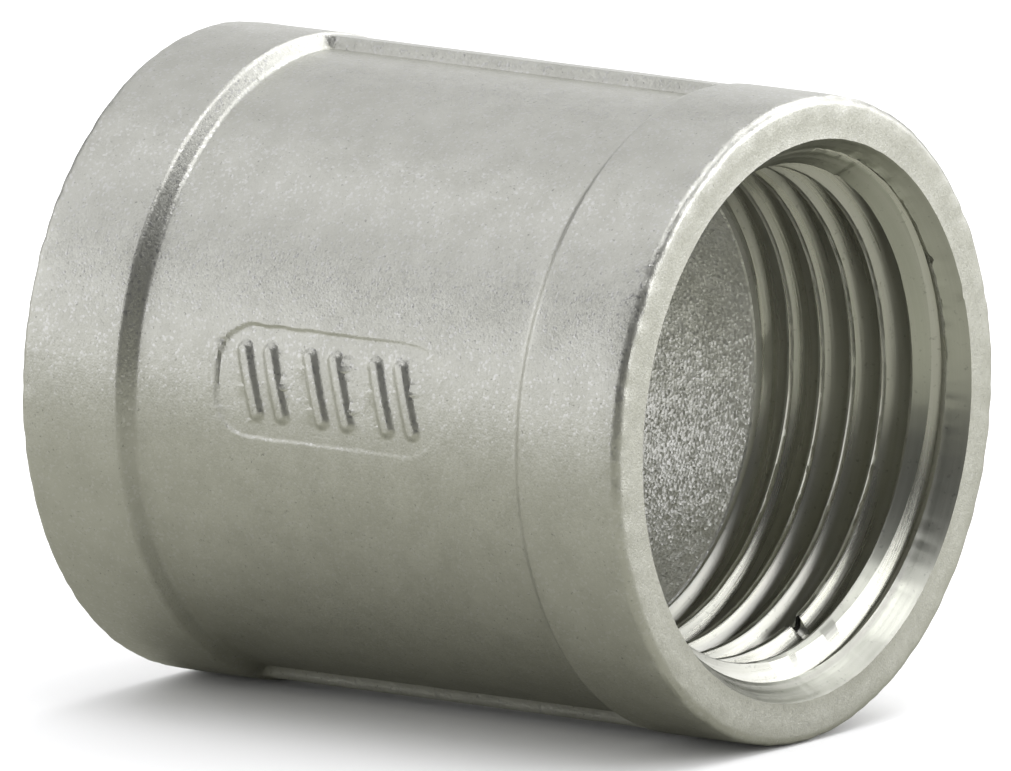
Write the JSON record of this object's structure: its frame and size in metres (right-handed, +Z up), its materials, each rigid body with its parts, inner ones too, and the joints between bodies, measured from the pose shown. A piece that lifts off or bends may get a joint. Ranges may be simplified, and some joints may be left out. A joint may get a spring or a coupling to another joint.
{
  "type": "pipe coupling",
  "caption": "Short straight metal pipe coupling with a raised band at each end, side ribs, a blank marking pad and female parallel pipe threads.",
  "frame": {"origin": "on the bore's axis at mid length", "axes": "+X along the bore out of one end, +Z up, -Y towards the side with the marking pad"},
  "size_m": [0.045, 0.04, 0.04],
  "materials": {
    "cast_stainless": "pickled investment casting, fine matt grain, machined bright in the threads and mouths"
  },
  "bodies": {
    "root": {"coupling_body": "cast_stainless"}
  },
  "joints": []
}
